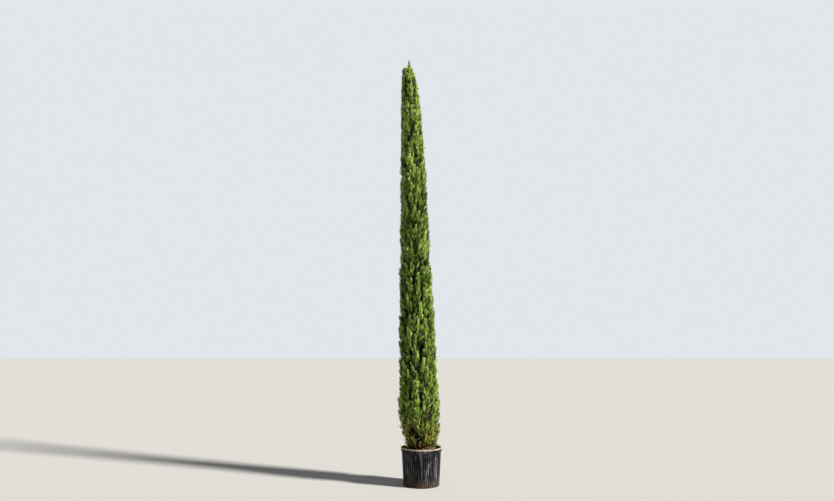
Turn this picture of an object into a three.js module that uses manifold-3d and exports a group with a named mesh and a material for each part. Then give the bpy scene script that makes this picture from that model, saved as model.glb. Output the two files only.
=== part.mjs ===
// Italian cypress in a nursery pot: a slim upright tree about 5 m tall.
// Millimetres, +Z up. The origin is the centre of the pot's flat underside.
//
// The trunk runs whole from the soil to near the tip. Round it the foliage is laid out like overlapping
// flames: the crown's surface is divided into a staggered lattice of upright diamonds, and each diamond
// holds one mass, which is a stem from the trunk, a dense core, and toothed sprays that stand out of it.

import * as THREE from "three";
import { mergeVertices } from "three/addons/utils/BufferGeometryUtils.js";
import Module from "manifold-3d";

const wasm = await Module();
wasm.setup();

// Tree
const TREE_TOP = 5130; // tip of the crown
const CROWN_FOOT = 520; // where the crown begins
const GIRTH_TOP = 150; // radius that the long upper crown keeps until its tip
const GIRTH_SPREAD = 112; // what the radius gains from there down to the foot
const SPREAD_POWER = 1.7; // how late the crown widens on the way down
const TIP_POWER = 6; // how suddenly the crown closes at its tip
const TIP_ROUND = 0.45;
const FOOT_SHARE = 0.05; // the lowest share of the crown, where it draws in
const FOOT_DRAW = 0.3; // how much it draws in there
const LEAN_X = -150; // how far the crown leans from the pot's axis by its top
const TOP_HANG = -28; // what the last part of the crown hangs over besides
const HANG_POWER = 14;
const SWAY = -8; // the trunk's slow wander off a straight line

// Trunk
const TRUNK_RADIUS = 30; // above the flare
const TRUNK_TIP_RADIUS = 4;
const TRUNK_TOP = 4820;
const TRUNK_TAPER = 0.85;
const FLARE_RADIUS = 22; // what the root flare adds at the soil
const FLARE_HEIGHT = 70;
const FLARE_LOBES = 5;
const FLARE_LOBE_DEPTH = 0.16; // share of the radius
const TRUNK_SIDES = 10;
const TRUNK_STEPS = 18;

// Pot and soil
const POT_HEIGHT = 420;
const POT_BASE_RADIUS = 205;
const POT_WALL_RADIUS = 226; // outside of the wall, under the collar
const COLLAR_RADIUS = 235;
const COLLAR_HEIGHT = 40;
const POT_WALL = 5;
const POT_FLOOR = 8;
const POT_EDGE = 5; // rounding of the lip and of the foot
const POT_SIDES = 40;
const FLUTE_DEPTH = 2.5; // every other side of the wall stands this far in
const DRAIN_HOLES = 8;
const DRAIN_RADIUS = 9;
const SOIL_TOP = 386;
const SOIL_MOUND = 6; // how much higher the soil is round the trunk
const SOIL_SEAT = 75; // radius of the level place under the trunk
const SOIL_SIDES = 24;

// Masses of foliage
const SECTORS = 5;
const ROWS = 7; // rows of lattice points above the foot row
const LATTICE_FOOT = 575;
const LATTICE_TOP = 4620;
const ROW_POWER = 1.15; // rows come closer together towards the top
const TWIST = 1.05; // radians that the lattice turns from foot to top
const JITTER_ANGLE = 0.2; // share of a sector
const JITTER_HEIGHT = 0.2; // share of a row
const SKIRT_DROP = 110; // how far the lowest masses hang under the lattice's foot
const TOP_RISE = [250, 400]; // how far the highest masses rise over the lattice's top
const BULGE = [0.97, 1.04]; // how much fuller or flatter than the crown a mass is
const CORE_INNER = 0.35; // share of the crown's radius
const CORE_OUTER = 0.76;
const CORE_WIDTH = 0.84; // share of the mass's own width
const CORE_SIDES = 6;
const CORE_STEPS = 4;
const CORE_ENDS = [0.03, 0.94]; // where the core starts and ends in its diamond
const STEM_SHARE = 0.36; // share of the trunk's radius
const STEM_ENDS = [0.24, 0.5];
const STEM_SIDES = 4;
const GAP = 0.3; // between pieces that touch
const SPACE_MARGIN = 3; // from a mass to the edge of its diamond

// Sprays
const SPRAYS = 11; // on each mass
const SPRAY_TRIES = 9;
const SPRAY_LENGTH = 235;
const SPRAY_WIDTH = 0.26; // share of the diamond's full width at its waist
const SPRAY_THICK = 5;
const SPRAY_SINK = 14; // how deep its root stands in the core
const SPRAY_REACH = [0.92, 1.03]; // tips, as shares of the crown's radius
const SPRAY_DRAW = 0.6; // how far a tip leans to the middle of its flame
const SPRAY_BELLY = 0.3; // where along the blade it is thickest
// along and across the blade: tooth, notch, tip, notch, tooth, root
const SPRAY_OUTLINE = [
  [0.58, -1], [0.46, -0.4], [1, 0], [0.55, 0.4], [0.7, 0.9], [0, 0],
];

// Boughs under the lowest masses
const BOUGH_RADIUS = [11, 7];
const BOUGH_FOOT = 455; // the lowest bough leaves the trunk here
const BOUGH_RISE = 26; // from one bough to the next
const BOUGH_TIP_HEIGHT = 645;
const BOUGH_TIP_SHARE = 0.4; // of the crown's radius
const BOUGH_SIDES = 6;

// Top mass
const LEADER_SHARE = 0.27; // its core, of the crown's radius
const LEADER_BODY = [TRUNK_TOP + 30, 5085];
const LEADER_SPRAYS = 20;
const LEADER_SPRAY_LENGTH = 150;
const LEADER_SPRAY_WIDTH = 16;
const LEADER_TOPS = [115, 165]; // how far its sprays end under the highest tip
const HIGH_TIP_OUT = 32; // how far the highest tip stands to the side
const SECOND_TIP = [48, 112]; // how far to the other side and below the highest tip the second one ends

const barkMaterial = new THREE.MeshStandardMaterial({ color: 0x5a4636, roughness: 0.95, metalness: 0 });
const foliageMaterial = new THREE.MeshStandardMaterial({ color: 0x5a7028, roughness: 0.9, metalness: 0 });
const potMaterial = new THREE.MeshStandardMaterial({ color: 0x262425, roughness: 0.6, metalness: 0 });
const soilMaterial = new THREE.MeshStandardMaterial({ color: 0x4b3a28, roughness: 1, metalness: 0 });

// A repeatable number from 0 to 1 for each whole number n.
function chance(n) {
  const s = Math.sin(n * 127.1 + 11.7) * 43758.5453;
  return s - Math.floor(s);
}

const mix = (a, b, t) => a + (b - a) * t;

// Where the trunk's centre line is at height z.
function trunkCentre(z) {
  const s = Math.max(0, (z - SOIL_TOP) / (TREE_TOP - SOIL_TOP));
  const sway = SWAY * Math.sin(2 * Math.PI * s);
  return new THREE.Vector2(LEAN_X * s + TOP_HANG * s ** HANG_POWER + sway, -sway);
}

// The trunk's radius at height z, with its root flare.
function trunkRadius(z) {
  const s = (z - SOIL_TOP) / (TRUNK_TOP - SOIL_TOP);
  const shaft = mix(TRUNK_TIP_RADIUS, TRUNK_RADIUS, Math.max(0, 1 - s) ** TRUNK_TAPER);
  return shaft + FLARE_RADIUS * Math.exp(-(z - SOIL_TOP) / FLARE_HEIGHT);
}

// The crown's radius at height z.
function crownRadius(z) {
  const s = Math.min(1, Math.max(0, (z - CROWN_FOOT) / (TREE_TOP - CROWN_FOOT)));
  const girth = GIRTH_TOP + GIRTH_SPREAD * (1 - s) ** SPREAD_POWER;
  const tip = (1 - s ** TIP_POWER) ** TIP_ROUND;
  const foot = 1 - FOOT_DRAW * Math.max(0, 1 - s / FOOT_SHARE) ** 2;
  return girth * tip * foot;
}

// A point at an angle and a radius round the trunk's centre line.
function around(angle, radius, z) {
  const c = trunkCentre(z);
  return new THREE.Vector3(c.x + radius * Math.cos(angle), c.y + radius * Math.sin(angle), z);
}

// Moves each vertex of a geometry to where place says.
function reshape(geometry, place) {
  const position = geometry.getAttribute("position");
  const p = new THREE.Vector3();
  for (let i = 0; i < position.count; i++) {
    p.copy(place(p.fromBufferAttribute(position, i).clone()));
    position.setXYZ(i, p.x, p.y, p.z);
  }
  return geometry;
}

// The largest body of a solid, as a geometry: what a cut has parted from it is dropped.
function largestOf(solid) {
  const bodies = solid.decompose();
  bodies.sort((a, b) => b.volume() - a.volume());
  return geometryOf(bodies[0]);
}

// A closed geometry as a solid that can be joined and cut.
function solidOf(geometry) {
  const bare = geometry.clone();
  bare.deleteAttribute("normal");
  bare.deleteAttribute("uv");
  const merged = mergeVertices(bare, 1e-3);
  return new wasm.Manifold(
    new wasm.Mesh({
      numProp: 3,
      vertProperties: new Float32Array(merged.getAttribute("position").array),
      triVerts: new Uint32Array(merged.index.array),
    }),
  );
}

// A solid back as a geometry.
function geometryOf(solid) {
  const mesh = solid.getMesh();
  const geometry = new THREE.BufferGeometry();
  geometry.setAttribute("position", new THREE.BufferAttribute(mesh.vertProperties, 3));
  geometry.setIndex(new THREE.BufferAttribute(mesh.triVerts, 1));
  geometry.computeVertexNormals();
  return geometry;
}

// A straight tapering limb from one point to another.
function limbGeometry(from, to, radii, sides) {
  const length = from.distanceTo(to);
  const limb = new THREE.CylinderGeometry(radii[1], radii[0], length, sides, 1);
  limb.translate(0, length / 2, 0);
  const along = to.clone().sub(from).normalize();
  limb.applyQuaternion(new THREE.Quaternion().setFromUnitVectors(new THREE.Vector3(0, 1, 0), along));
  return limb.translate(from.x, from.y, from.z);
}

// The trunk, standing on the soil with a flat cut. extra makes it fatter, for cutting others clear of it.
function trunkGeometry(extra) {
  const foot = SOIL_TOP + SOIL_MOUND + GAP - extra;
  const height = TRUNK_TOP + extra - foot;
  const column = new THREE.CylinderGeometry(1, 1, 1, TRUNK_SIDES, TRUNK_STEPS);
  return reshape(column, (p) => {
    const t = p.y + 0.5;
    const z = foot + height * t ** 1.35; // rings are closer together at the flare
    const c = trunkCentre(z);
    const flare = Math.exp(-(z - SOIL_TOP) / FLARE_HEIGHT);
    const lobe = 1 + FLARE_LOBE_DEPTH * flare * Math.cos(FLARE_LOBES * Math.atan2(p.z, p.x));
    const r = trunkRadius(z) * lobe + extra;
    return new THREE.Vector3(c.x + r * p.x, c.y - r * p.z, z);
  });
}

// The pot: a fluted wall under a plain collar, with drain holes round the foot.
function potGeometry() {
  const collarFoot = POT_HEIGHT - COLLAR_HEIGHT;
  const outline = [
    [0, 0],
    [POT_BASE_RADIUS - POT_EDGE, 0],
    [POT_BASE_RADIUS, POT_EDGE],
    [POT_WALL_RADIUS, collarFoot - POT_EDGE],
    [COLLAR_RADIUS, collarFoot],
    [COLLAR_RADIUS, POT_HEIGHT - POT_EDGE],
    [COLLAR_RADIUS - POT_EDGE / 2, POT_HEIGHT],
    [POT_WALL_RADIUS - FLUTE_DEPTH, POT_HEIGHT],
    [POT_WALL_RADIUS - FLUTE_DEPTH - POT_WALL, POT_HEIGHT - POT_EDGE],
    [POT_BASE_RADIUS - FLUTE_DEPTH - POT_WALL, POT_FLOOR],
    [0, POT_FLOOR],
  ].map(([x, y]) => new THREE.Vector2(x, y));
  const shell = new THREE.LatheGeometry(outline, POT_SIDES);
  const fluted = reshape(shell, (p) => {
    const r = Math.hypot(p.x, p.z);
    const turn = Math.round((Math.atan2(p.z, p.x) * POT_SIDES) / (2 * Math.PI));
    const onWall = r >= POT_BASE_RADIUS - 0.1 && p.y < collarFoot - 1;
    const k = onWall && turn % 2 ? 1 - FLUTE_DEPTH / r : 1;
    return new THREE.Vector3(k * p.x, -k * p.z, p.y);
  });
  let pot = solidOf(fluted);
  for (let i = 0; i < DRAIN_HOLES; i++) {
    const drill = new THREE.CylinderGeometry(DRAIN_RADIUS, DRAIN_RADIUS, 60, 8);
    drill.rotateZ(Math.PI / 2);
    drill.translate(POT_BASE_RADIUS, 0, POT_FLOOR + DRAIN_RADIUS + 4);
    drill.rotateZ(((i + 0.5) * 2 * Math.PI) / DRAIN_HOLES);
    pot = pot.subtract(solidOf(drill));
  }
  return geometryOf(pot);
}

// The soil fills the pot to under its collar and is level where the trunk stands.
function soilGeometry() {
  const innerFoot = POT_BASE_RADIUS - FLUTE_DEPTH - POT_WALL - GAP * 2;
  const innerTop = POT_WALL_RADIUS - FLUTE_DEPTH - POT_WALL - GAP * 2;
  const atSoil = mix(innerFoot, innerTop, (SOIL_TOP - POT_FLOOR) / (POT_HEIGHT - POT_EDGE - POT_FLOOR));
  const outline = [
    [0, POT_FLOOR + GAP],
    [innerFoot, POT_FLOOR + GAP],
    [atSoil, SOIL_TOP],
    [SOIL_SEAT, SOIL_TOP + SOIL_MOUND],
    [0, SOIL_TOP + SOIL_MOUND],
  ].map(([x, y]) => new THREE.Vector2(x, y));
  return new THREE.LatheGeometry(outline, SOIL_SIDES).rotateX(Math.PI / 2);
}

// Lattice point k of row j: its angle and height. Odd rows are turned by half a sector.
function latticePoint(j, k) {
  const sector = (2 * Math.PI) / SECTORS;
  const wrapped = ((k % SECTORS) + SECTORS) % SECTORS;
  const id = j * SECTORS + wrapped;
  const share = 1 - (1 - j / ROWS) ** ROW_POWER;
  const rowHeight = (LATTICE_TOP - LATTICE_FOOT) / ROWS;
  const turn = k + (j % 2 ? 0.5 : 0) + JITTER_ANGLE * (chance(2 * id) - 0.5);
  return {
    angle: sector * turn + TWIST * share,
    z: mix(LATTICE_FOOT, LATTICE_TOP, share) + JITTER_HEIGHT * rowHeight * (chance(2 * id + 1) - 0.5),
  };
}

// The diamond of the mass in row j: its lowest, left, right and highest points. Left is the smaller angle.
function diamond(j, k) {
  const shift = j % 2 ? 0 : 1; // the neighbours' rows are turned the other way
  const left = latticePoint(j, k);
  const right = latticePoint(j, k + 1);
  const middle = (left.angle + right.angle) / 2;
  const id = j * SECTORS + k;
  const foot = j === 0
    ? { angle: middle, z: LATTICE_FOOT - SKIRT_DROP * (0.4 + 0.6 * chance(id + 500)) }
    : latticePoint(j - 1, k + 1 - shift);
  const top = j === ROWS
    ? { angle: middle, z: LATTICE_TOP + mix(TOP_RISE[0], TOP_RISE[1], chance(id + 600)) }
    : latticePoint(j + 1, k + 1 - shift);
  return { foot, left, right, top, id, bulge: mix(BULGE[0], BULGE[1], chance(id + 700)) };
}

// The angle of a diamond's side at height z, going from its foot over its corner to its top.
function sideAngle(cell, corner, z) {
  const [a, b] = z < corner.z ? [cell.foot, corner] : [corner, cell.top];
  return mix(a.angle, b.angle, (z - a.z) / (b.z - a.z));
}

// The middle angle and half the width, in radians, of a diamond at height z.
function span(cell, z) {
  const a = sideAngle(cell, cell.left, z);
  const b = sideAngle(cell, cell.right, z);
  return { middle: (a + b) / 2, half: (b - a) / 2 };
}

// Whether a point is inside a diamond's own space.
function isInside(cell, p) {
  if (p.z <= cell.foot.z + SPACE_MARGIN || p.z >= cell.top.z - SPACE_MARGIN) return false;
  const c = trunkCentre(p.z);
  const r = Math.hypot(p.x - c.x, p.y - c.y);
  const crown = cell.bulge * crownRadius(p.z);
  if (r > SPRAY_REACH[1] * crown || r < CORE_INNER * crown) return false;
  const { middle, half } = span(cell, p.z);
  const off = Math.atan2(p.y - c.y, p.x - c.x) - middle;
  const wrapped = Math.atan2(Math.sin(off), Math.cos(off));
  return (half - Math.abs(wrapped)) * r > SPACE_MARGIN;
}

// Whether a point is inside the crown's tip.
function isInsideTip(p) {
  const c = trunkCentre(p.z);
  return p.z < TREE_TOP + 1 && Math.hypot(p.x - c.x, p.y - c.y) <= SPRAY_REACH[1] * crownRadius(p.z);
}

// The dense middle of a mass: a six-sided flame between the trunk and the crown's surface.
function coreGeometry(cell) {
  const corners = [[-1, 1], [0, 1], [1, 1], [1, 0], [0, 0], [-1, 0]]; // across, and from inner to outer
  const ball = new THREE.SphereGeometry(1, CORE_SIDES, CORE_STEPS);
  return reshape(ball, (p) => {
    const share = Math.acos(Math.max(-1, Math.min(1, -p.y))) / Math.PI;
    const z = mix(cell.foot.z, cell.top.z, mix(CORE_ENDS[0], CORE_ENDS[1], share));
    const { middle, half } = span(cell, z);
    const crown = cell.bulge * crownRadius(z);
    if (Math.abs(p.y) > 0.999) return around(middle, crown * mix(CORE_INNER, CORE_OUTER, 0.6), z);
    const column = Math.round((Math.atan2(p.z, -p.x) / (2 * Math.PI)) * CORE_SIDES + CORE_SIDES) % CORE_SIDES;
    const [across, outwards] = corners[(CORE_SIDES - column) % CORE_SIDES];
    return around(middle - across * half * CORE_WIDTH, crown * mix(CORE_INNER, CORE_OUTER, outwards), z);
  });
}

// One toothed spray from root to tip, its broad side turned outwards and rolled a little.
function sprayGeometry(root, tip, halfWidth, roll) {
  const along = tip.clone().sub(root);
  const c = trunkCentre(root.z);
  const outwards = new THREE.Vector3(root.x - c.x, root.y - c.y, 0).normalize();
  const across = new THREE.Vector3().crossVectors(along, outwards).normalize();
  across.applyAxisAngle(along.clone().normalize(), roll);
  const normal = new THREE.Vector3().crossVectors(along, across).normalize();
  const blade = new THREE.SphereGeometry(1, SPRAY_OUTLINE.length, 2);
  return reshape(blade, (p) => {
    if (Math.abs(p.y) > 0.5) {
      const belly = root.clone().addScaledVector(along, SPRAY_BELLY);
      return belly.addScaledVector(normal, SPRAY_THICK * Math.sign(p.y));
    }
    const corners = SPRAY_OUTLINE.length;
    const corner = Math.round((Math.atan2(p.z, -p.x) / (2 * Math.PI)) * corners + corners) % corners;
    const [a, b] = SPRAY_OUTLINE[corner];
    return root.clone().addScaledVector(along, a).addScaledVector(across, b * halfWidth);
  });
}

// Whether a spray keeps to the space that inside describes, all but its sunken root: tested along its edges.
function keepsTo(inside, geometry, root) {
  const position = geometry.getAttribute("position");
  const index = geometry.index;
  const [p, q] = [new THREE.Vector3(), new THREE.Vector3()];
  for (let i = 0; i < index.count; i++) {
    const next = i % 3 === 2 ? i - 2 : i + 1;
    p.fromBufferAttribute(position, index.getX(i));
    q.fromBufferAttribute(position, index.getX(next));
    for (const t of [0, 0.3, 0.7]) {
      const r = p.clone().lerp(q, t);
      if (r.distanceTo(root) > SPRAY_SINK * 2 && !inside(r)) return false;
    }
  }
  return true;
}

// The sprays of a mass, spread up its flame by the golden ratio.
// One that would leave its space is drawn in and tried again, then skipped.
function spraysOf(cell) {
  const golden = (Math.sqrt(5) - 1) / 2;
  const height = cell.top.z - cell.foot.z;
  const waist = span(cell, (cell.left.z + cell.right.z) / 2).half;
  const sprays = [];
  for (let i = 0; i < SPRAYS; i++) {
    for (let attempt = 0; attempt < SPRAY_TRIES; attempt++) {
      const n = cell.id * 1000 + i * 40 + attempt * 4;
      const length = SPRAY_LENGTH * mix(0.8, 1.15, chance(n)) * (1 - 0.06 * attempt);
      const z = mix(cell.foot.z, cell.top.z, mix(0.06, 0.88, (i + chance(n + 1)) / SPRAYS));
      const zTip = Math.min(z + length, cell.top.z - SPACE_MARGIN * 2);
      const side = (2 * ((i * golden + 0.13 * cell.id) % 1) - 1) * (1 - 0.07 * attempt);
      const low = span(cell, z);
      const high = span(cell, zTip);
      const skin = CORE_OUTER * cell.bulge * crownRadius(z);
      const root = around(low.middle + side * low.half * 0.72, skin - SPRAY_SINK, z);
      const reach = mix(SPRAY_REACH[0], SPRAY_REACH[1], chance(n + 2)) * cell.bulge * crownRadius(zTip) - 1;
      const tip = around(high.middle + side * high.half * SPRAY_DRAW, reach, zTip);
      const halfWidth = SPRAY_WIDTH * waist * crownRadius(z) * (1 - 0.06 * attempt);
      const spray = sprayGeometry(root, tip, halfWidth, mix(-0.5, 0.5, chance(n + 3)));
      if (z + length * 0.6 < cell.top.z && keepsTo((p) => isInside(cell, p), spray, root)) {
        sprays.push(solidOf(spray));
        break;
      }
    }
  }
  return sprays;
}

// A mass of foliage: stem, core and sprays in one piece, cut clear of its limb.
function massGeometry(cell, stem, limbClear) {
  const parts = [solidOf(coreGeometry(cell)), solidOf(stem), ...spraysOf(cell)];
  return largestOf(wasm.Manifold.union(parts).subtract(limbClear));
}

// The stem of a mass, steeply from the middle of the trunk into its core.
function stemGeometry(cell) {
  const [z0, z1] = STEM_ENDS.map((share) => mix(cell.foot.z, cell.top.z, share));
  const radius = STEM_SHARE * trunkRadius(z0);
  const from = around(span(cell, z1).middle, 0, z0);
  const to = around(span(cell, z1).middle, crownRadius(z1) * mix(CORE_INNER, CORE_OUTER, 0.4), z1);
  return limbGeometry(from, to, [radius, radius * 0.7], STEM_SIDES);
}

// The bough under a lowest mass, the same bough fatter by the gap, and the stem that carries on from it.
function boughAndStem(cell, index) {
  const angle = span(cell, BOUGH_TIP_HEIGHT).middle;
  const from = around(angle, 0, BOUGH_FOOT + BOUGH_RISE * index);
  const tip = around(angle, BOUGH_TIP_SHARE * crownRadius(BOUGH_TIP_HEIGHT), BOUGH_TIP_HEIGHT);
  const along = tip.clone().sub(from).normalize();
  const stemFoot = tip.clone().addScaledVector(along, GAP);
  const stemTop = stemFoot.clone().addScaledVector(along, crownRadius(BOUGH_TIP_HEIGHT) * 0.5);
  const stemRadii = [BOUGH_RADIUS[1], BOUGH_RADIUS[1] * 0.7];
  const clearRadii = BOUGH_RADIUS.map((radius) => radius + GAP * 1.3);
  return {
    bough: limbGeometry(from, tip, BOUGH_RADIUS, BOUGH_SIDES),
    clear: limbGeometry(from, stemFoot, clearRadii, BOUGH_SIDES),
    stem: limbGeometry(stemFoot, stemTop, stemRadii, BOUGH_SIDES),
  };
}

// The sprays of the top mass: all round and upwards where the masses beside it leave room.
function leaderSprays(beside) {
  const sprays = [];
  for (let i = 0; i < LEADER_SPRAYS; i++) {
    const angle = i * Math.PI * (3 - Math.sqrt(5));
    const z = mix(LEADER_BODY[0] + 20, LEADER_BODY[1] - 50, i / (LEADER_SPRAYS - 1));
    const zTip = Math.min(z + LEADER_SPRAY_LENGTH, TREE_TOP - mix(...LEADER_TOPS, chance(i + 800)));
    const root = around(angle, 3, z);
    const tip = around(angle, crownRadius(zTip) * 0.92, zTip);
    const spray = sprayGeometry(root, tip, LEADER_SPRAY_WIDTH, mix(-0.4, 0.4, chance(i + 900)));
    const solid = solidOf(spray);
    if (keepsTo(isInsideTip, spray, root) && solid.intersect(beside).isEmpty()) sprays.push(solid);
  }
  return sprays;
}

// The top mass: a spindle on the trunk's tip, with short sprays and two tips of its own.
function leaderGeometry(trunkClear, beside) {
  const spindle = reshape(new THREE.SphereGeometry(1, CORE_SIDES, CORE_STEPS), (p) => {
    const share = Math.acos(Math.max(-1, Math.min(1, -p.y))) / Math.PI;
    const z = mix(LEADER_BODY[0], LEADER_BODY[1], share);
    const ring = Math.abs(p.y) > 0.999 ? 0 : LEADER_SHARE * crownRadius(z);
    return around(Math.atan2(-p.z, p.x), ring, z);
  });
  const stemFoot = around(0, 0, TRUNK_TOP + GAP);
  const stemTop = around(0, 0, LEADER_BODY[0] + 60);
  const stem = limbGeometry(stemFoot, stemTop, [5, 5], BOUGH_SIDES);
  const highRoot = around(-Math.PI / 2, 4, LEADER_BODY[1] - 90);
  const high = sprayGeometry(highRoot, around(0, HIGH_TIP_OUT, TREE_TOP), LEADER_SPRAY_WIDTH, 0);
  const secondRoot = around(Math.PI, 4, LEADER_BODY[0] + 100);
  const secondTip = around(Math.PI, SECOND_TIP[0], TREE_TOP - SECOND_TIP[1]);
  const second = sprayGeometry(secondRoot, secondTip, LEADER_SPRAY_WIDTH, 0);
  const parts = [spindle, stem, high, second].map(solidOf).concat(leaderSprays(beside));
  return largestOf(wasm.Manifold.union(parts).subtract(trunkClear).subtract(beside));
}

const tree = new THREE.Group();

function add(name, geometry, material) {
  const mesh = new THREE.Mesh(geometry, material);
  mesh.name = name;
  tree.add(mesh);
}

const trunkClear = solidOf(trunkGeometry(GAP));
add("pot", potGeometry(), potMaterial);
add("soil", soilGeometry(), soilMaterial);
add("trunk", trunkGeometry(0), barkMaterial);
for (let k = 0; k < SECTORS; k++) {
  const cell = diamond(0, k);
  const { bough, clear, stem } = boughAndStem(cell, k);
  add(`bough_${k + 1}`, largestOf(solidOf(bough).subtract(trunkClear)), barkMaterial);
  add(`skirt_foliage_${k + 1}`, massGeometry(cell, stem, trunkClear.add(solidOf(clear))), foliageMaterial);
}
for (let j = 1; j <= ROWS; j++) {
  for (let k = 0; k < SECTORS; k++) {
    const cell = diamond(j, k);
    add(`foliage_row${j}_${k + 1}`, massGeometry(cell, stemGeometry(cell), trunkClear), foliageMaterial);
  }
}
const highest = tree.children.slice(-SECTORS).map((mesh) => solidOf(mesh.geometry));
add("leader_foliage", leaderGeometry(trunkClear, wasm.Manifold.union(highest)), foliageMaterial);

export default tree;
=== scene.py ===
"""Italian cypress in a nursery pot: the looks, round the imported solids.

The foliage grows by the same rule as the solids: a staggered lattice of upright diamonds round the trunk,
one mass in each, and flames on each mass. Here each flame is a twig with sprays of fine scale leaves.
"""

import math

import bmesh
import bpy
import numpy as np
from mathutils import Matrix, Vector, noise


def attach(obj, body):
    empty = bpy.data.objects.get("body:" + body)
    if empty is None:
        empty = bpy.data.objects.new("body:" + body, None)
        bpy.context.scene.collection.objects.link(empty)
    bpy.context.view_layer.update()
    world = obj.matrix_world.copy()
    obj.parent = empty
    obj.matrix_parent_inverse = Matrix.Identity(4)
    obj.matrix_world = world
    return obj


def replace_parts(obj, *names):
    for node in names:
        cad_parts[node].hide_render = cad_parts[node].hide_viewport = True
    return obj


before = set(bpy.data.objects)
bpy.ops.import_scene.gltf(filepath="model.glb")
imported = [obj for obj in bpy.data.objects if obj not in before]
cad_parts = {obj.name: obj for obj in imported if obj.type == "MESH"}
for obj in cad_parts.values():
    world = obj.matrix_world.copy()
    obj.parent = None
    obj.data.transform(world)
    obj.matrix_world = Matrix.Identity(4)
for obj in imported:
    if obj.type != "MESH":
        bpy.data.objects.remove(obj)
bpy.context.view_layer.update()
scene = bpy.context.scene

# The tree's rule, as in the solids' source, in metres.

TREE_TOP = 5.130  # tip of the crown
CROWN_FOOT = 0.520
GIRTH_TOP = 0.150  # radius that the long upper crown keeps until its tip
GIRTH_SPREAD = 0.112  # what the radius gains from there down to the foot
SPREAD_POWER = 1.7
TIP_POWER = 6  # how suddenly the crown closes at its tip
TIP_ROUND = 0.45
FOOT_SHARE = 0.05  # the lowest share of the crown, where it draws in
FOOT_DRAW = 0.3
LEAN_X = -0.150  # how far the crown leans from the pot's axis by its top
TOP_HANG = -0.028  # what the last part of the crown hangs over besides
HANG_POWER = 14
SWAY = -0.008

TRUNK_RADIUS = 0.030
TRUNK_TIP_RADIUS = 0.004
TRUNK_TOP = 4.820
TRUNK_TAPER = 0.85
FLARE_RADIUS = 0.022  # what the root flare adds at the soil
FLARE_HEIGHT = 0.070
FLARE_LOBES = 5
FLARE_LOBE_DEPTH = 0.16
SOIL_TOP = 0.386
SOIL_MOUND = 0.006
GAP = 0.0003  # between pieces that touch

SECTORS = 5  # masses round the trunk
ROWS = 7  # rows of masses over the lowest one
LATTICE_FOOT = 0.575
LATTICE_TOP = 4.620
ROW_POWER = 1.15
TWIST = 1.05  # radians from the first row to the last
JITTER_ANGLE = 0.2
JITTER_HEIGHT = 0.2
SKIRT_DROP = 0.110  # how far the lowest masses hang under the lattice's foot
TOP_RISE = (0.250, 0.400)  # how far the highest masses rise over its top
BULGE = (0.97, 1.04)  # how full a mass is
CORE_INNER = 0.35  # share of the crown's radius
CORE_OUTER = 0.76
STEM_SHARE = 0.36  # share of the trunk's radius
STEM_ENDS = (0.24, 0.5)  # shares of the mass's height
SPACE_MARGIN = 0.003
SPRAYS = 11  # flames on a mass, where the solids have their toothed sprays
SPRAY_TRIES = 9
SPRAY_LENGTH = 0.235
SPRAY_REACH = (0.92, 1.03)  # share of the crown's radius at their tips
SPRAY_DRAW = 0.6  # how far their tips draw towards the mass's middle
BOUGH_RADIUS = (0.011, 0.007)
BOUGH_FOOT = 0.455
BOUGH_RISE = 0.026
BOUGH_TIP_HEIGHT = 0.645
BOUGH_TIP_SHARE = 0.4
LEADER_TOPS = (0.115, 0.165)  # how far the leader's flames end under the highest tip

POT_HEIGHT = 0.420
POT_BASE_RADIUS = 0.205
POT_WALL_RADIUS = 0.226
COLLAR_RADIUS = 0.235
COLLAR_HEIGHT = 0.040
POT_WALL = 0.005
POT_FLOOR = 0.008
FLUTE_DEPTH = 0.0025
FLUTES = 60
DRAIN_HOLES = 8
DRAIN_RADIUS = 0.009

# The finer forms, which only the looks have.
BLADES = 10  # folded blades on a spray
BLADE_WIDTH = 0.042  # shares of a spray's length
AXIS_WIDTH = 0.02
SPRAY_KINDS = 9
SPRAY_SIZE = 0.052
SPRAYS_ON_OUTER = 56
SPRAYS_ON_INNER = 21
SPRAYS_ON_LEADER = 21
FLAME_RADIUS = 0.022
INNER_FLAMES = 70  # for each square metre of a mass, its height times its radius
CORNER_FLAMES = 5  # over each corner of the lattice
LEADER_FLAMES = 26
LEADER_FLAME_LENGTH = 0.15
SHADED_SPINDLES = 1200  # for each square metre of a mass
CORNER_SPINDLES = 24
HEM_SPINDLES = 130  # under each of the lowest masses
SPINDLE_RADIUS = (0.005, 0.0095)
SPINDLES_OVER = 0.12  # how far they may stand over a mass's top, inside the next row
SPINDLES_UNDER = 0.06  # how far they stay under the top of the highest masses
FURROW_DEPTH = 0.15  # share of the crown's radius
STRAY_SHOOTS = 5  # on each mass
STRAY_LIMIT = 1.07  # share of the crown's radius that they may reach
HEM_SHOOTS = 30  # under each of the lowest masses
HEM_FLOOR = 0.446  # just over the pot's lip
YELLOW_TOP = 0.8  # height under which more and more of the sprays are yellow or brown
STRAW_TOP = 1.6  # height under which a few are dry
LITTER_PIECES = 1500
FULL_ROLL = 6.28
GOLDEN_ANGLE = math.pi * (3 - math.sqrt(5))

# The studio: the camera stands where the photograph was taken from.
CAMERA_PLACE = (-0.05, -7.45, 1.6)
CAMERA_TILT = 98.42  # degrees from straight down
CAMERA_LENS = 27
KEY_ENERGY = 9.0
KEY_ANGLE = 7  # degrees, as wide as the light looks
KEY_DIRECTION = (-0.82, 0.36, -0.50)
FILL_STRENGTH = 0.27
BACKDROP_STRENGTH = 0.9
FLOOR_SIZE = 60


def chance(n):
    """A number from 0 to 1 that depends on n alone, as in the source."""
    s = math.sin(n * 127.1 + 11.7) * 43758.5453
    return s - math.floor(s)


def mix(a, b, t):
    """The value that lies at share t from a to b."""
    return a + (b - a) * t


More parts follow.
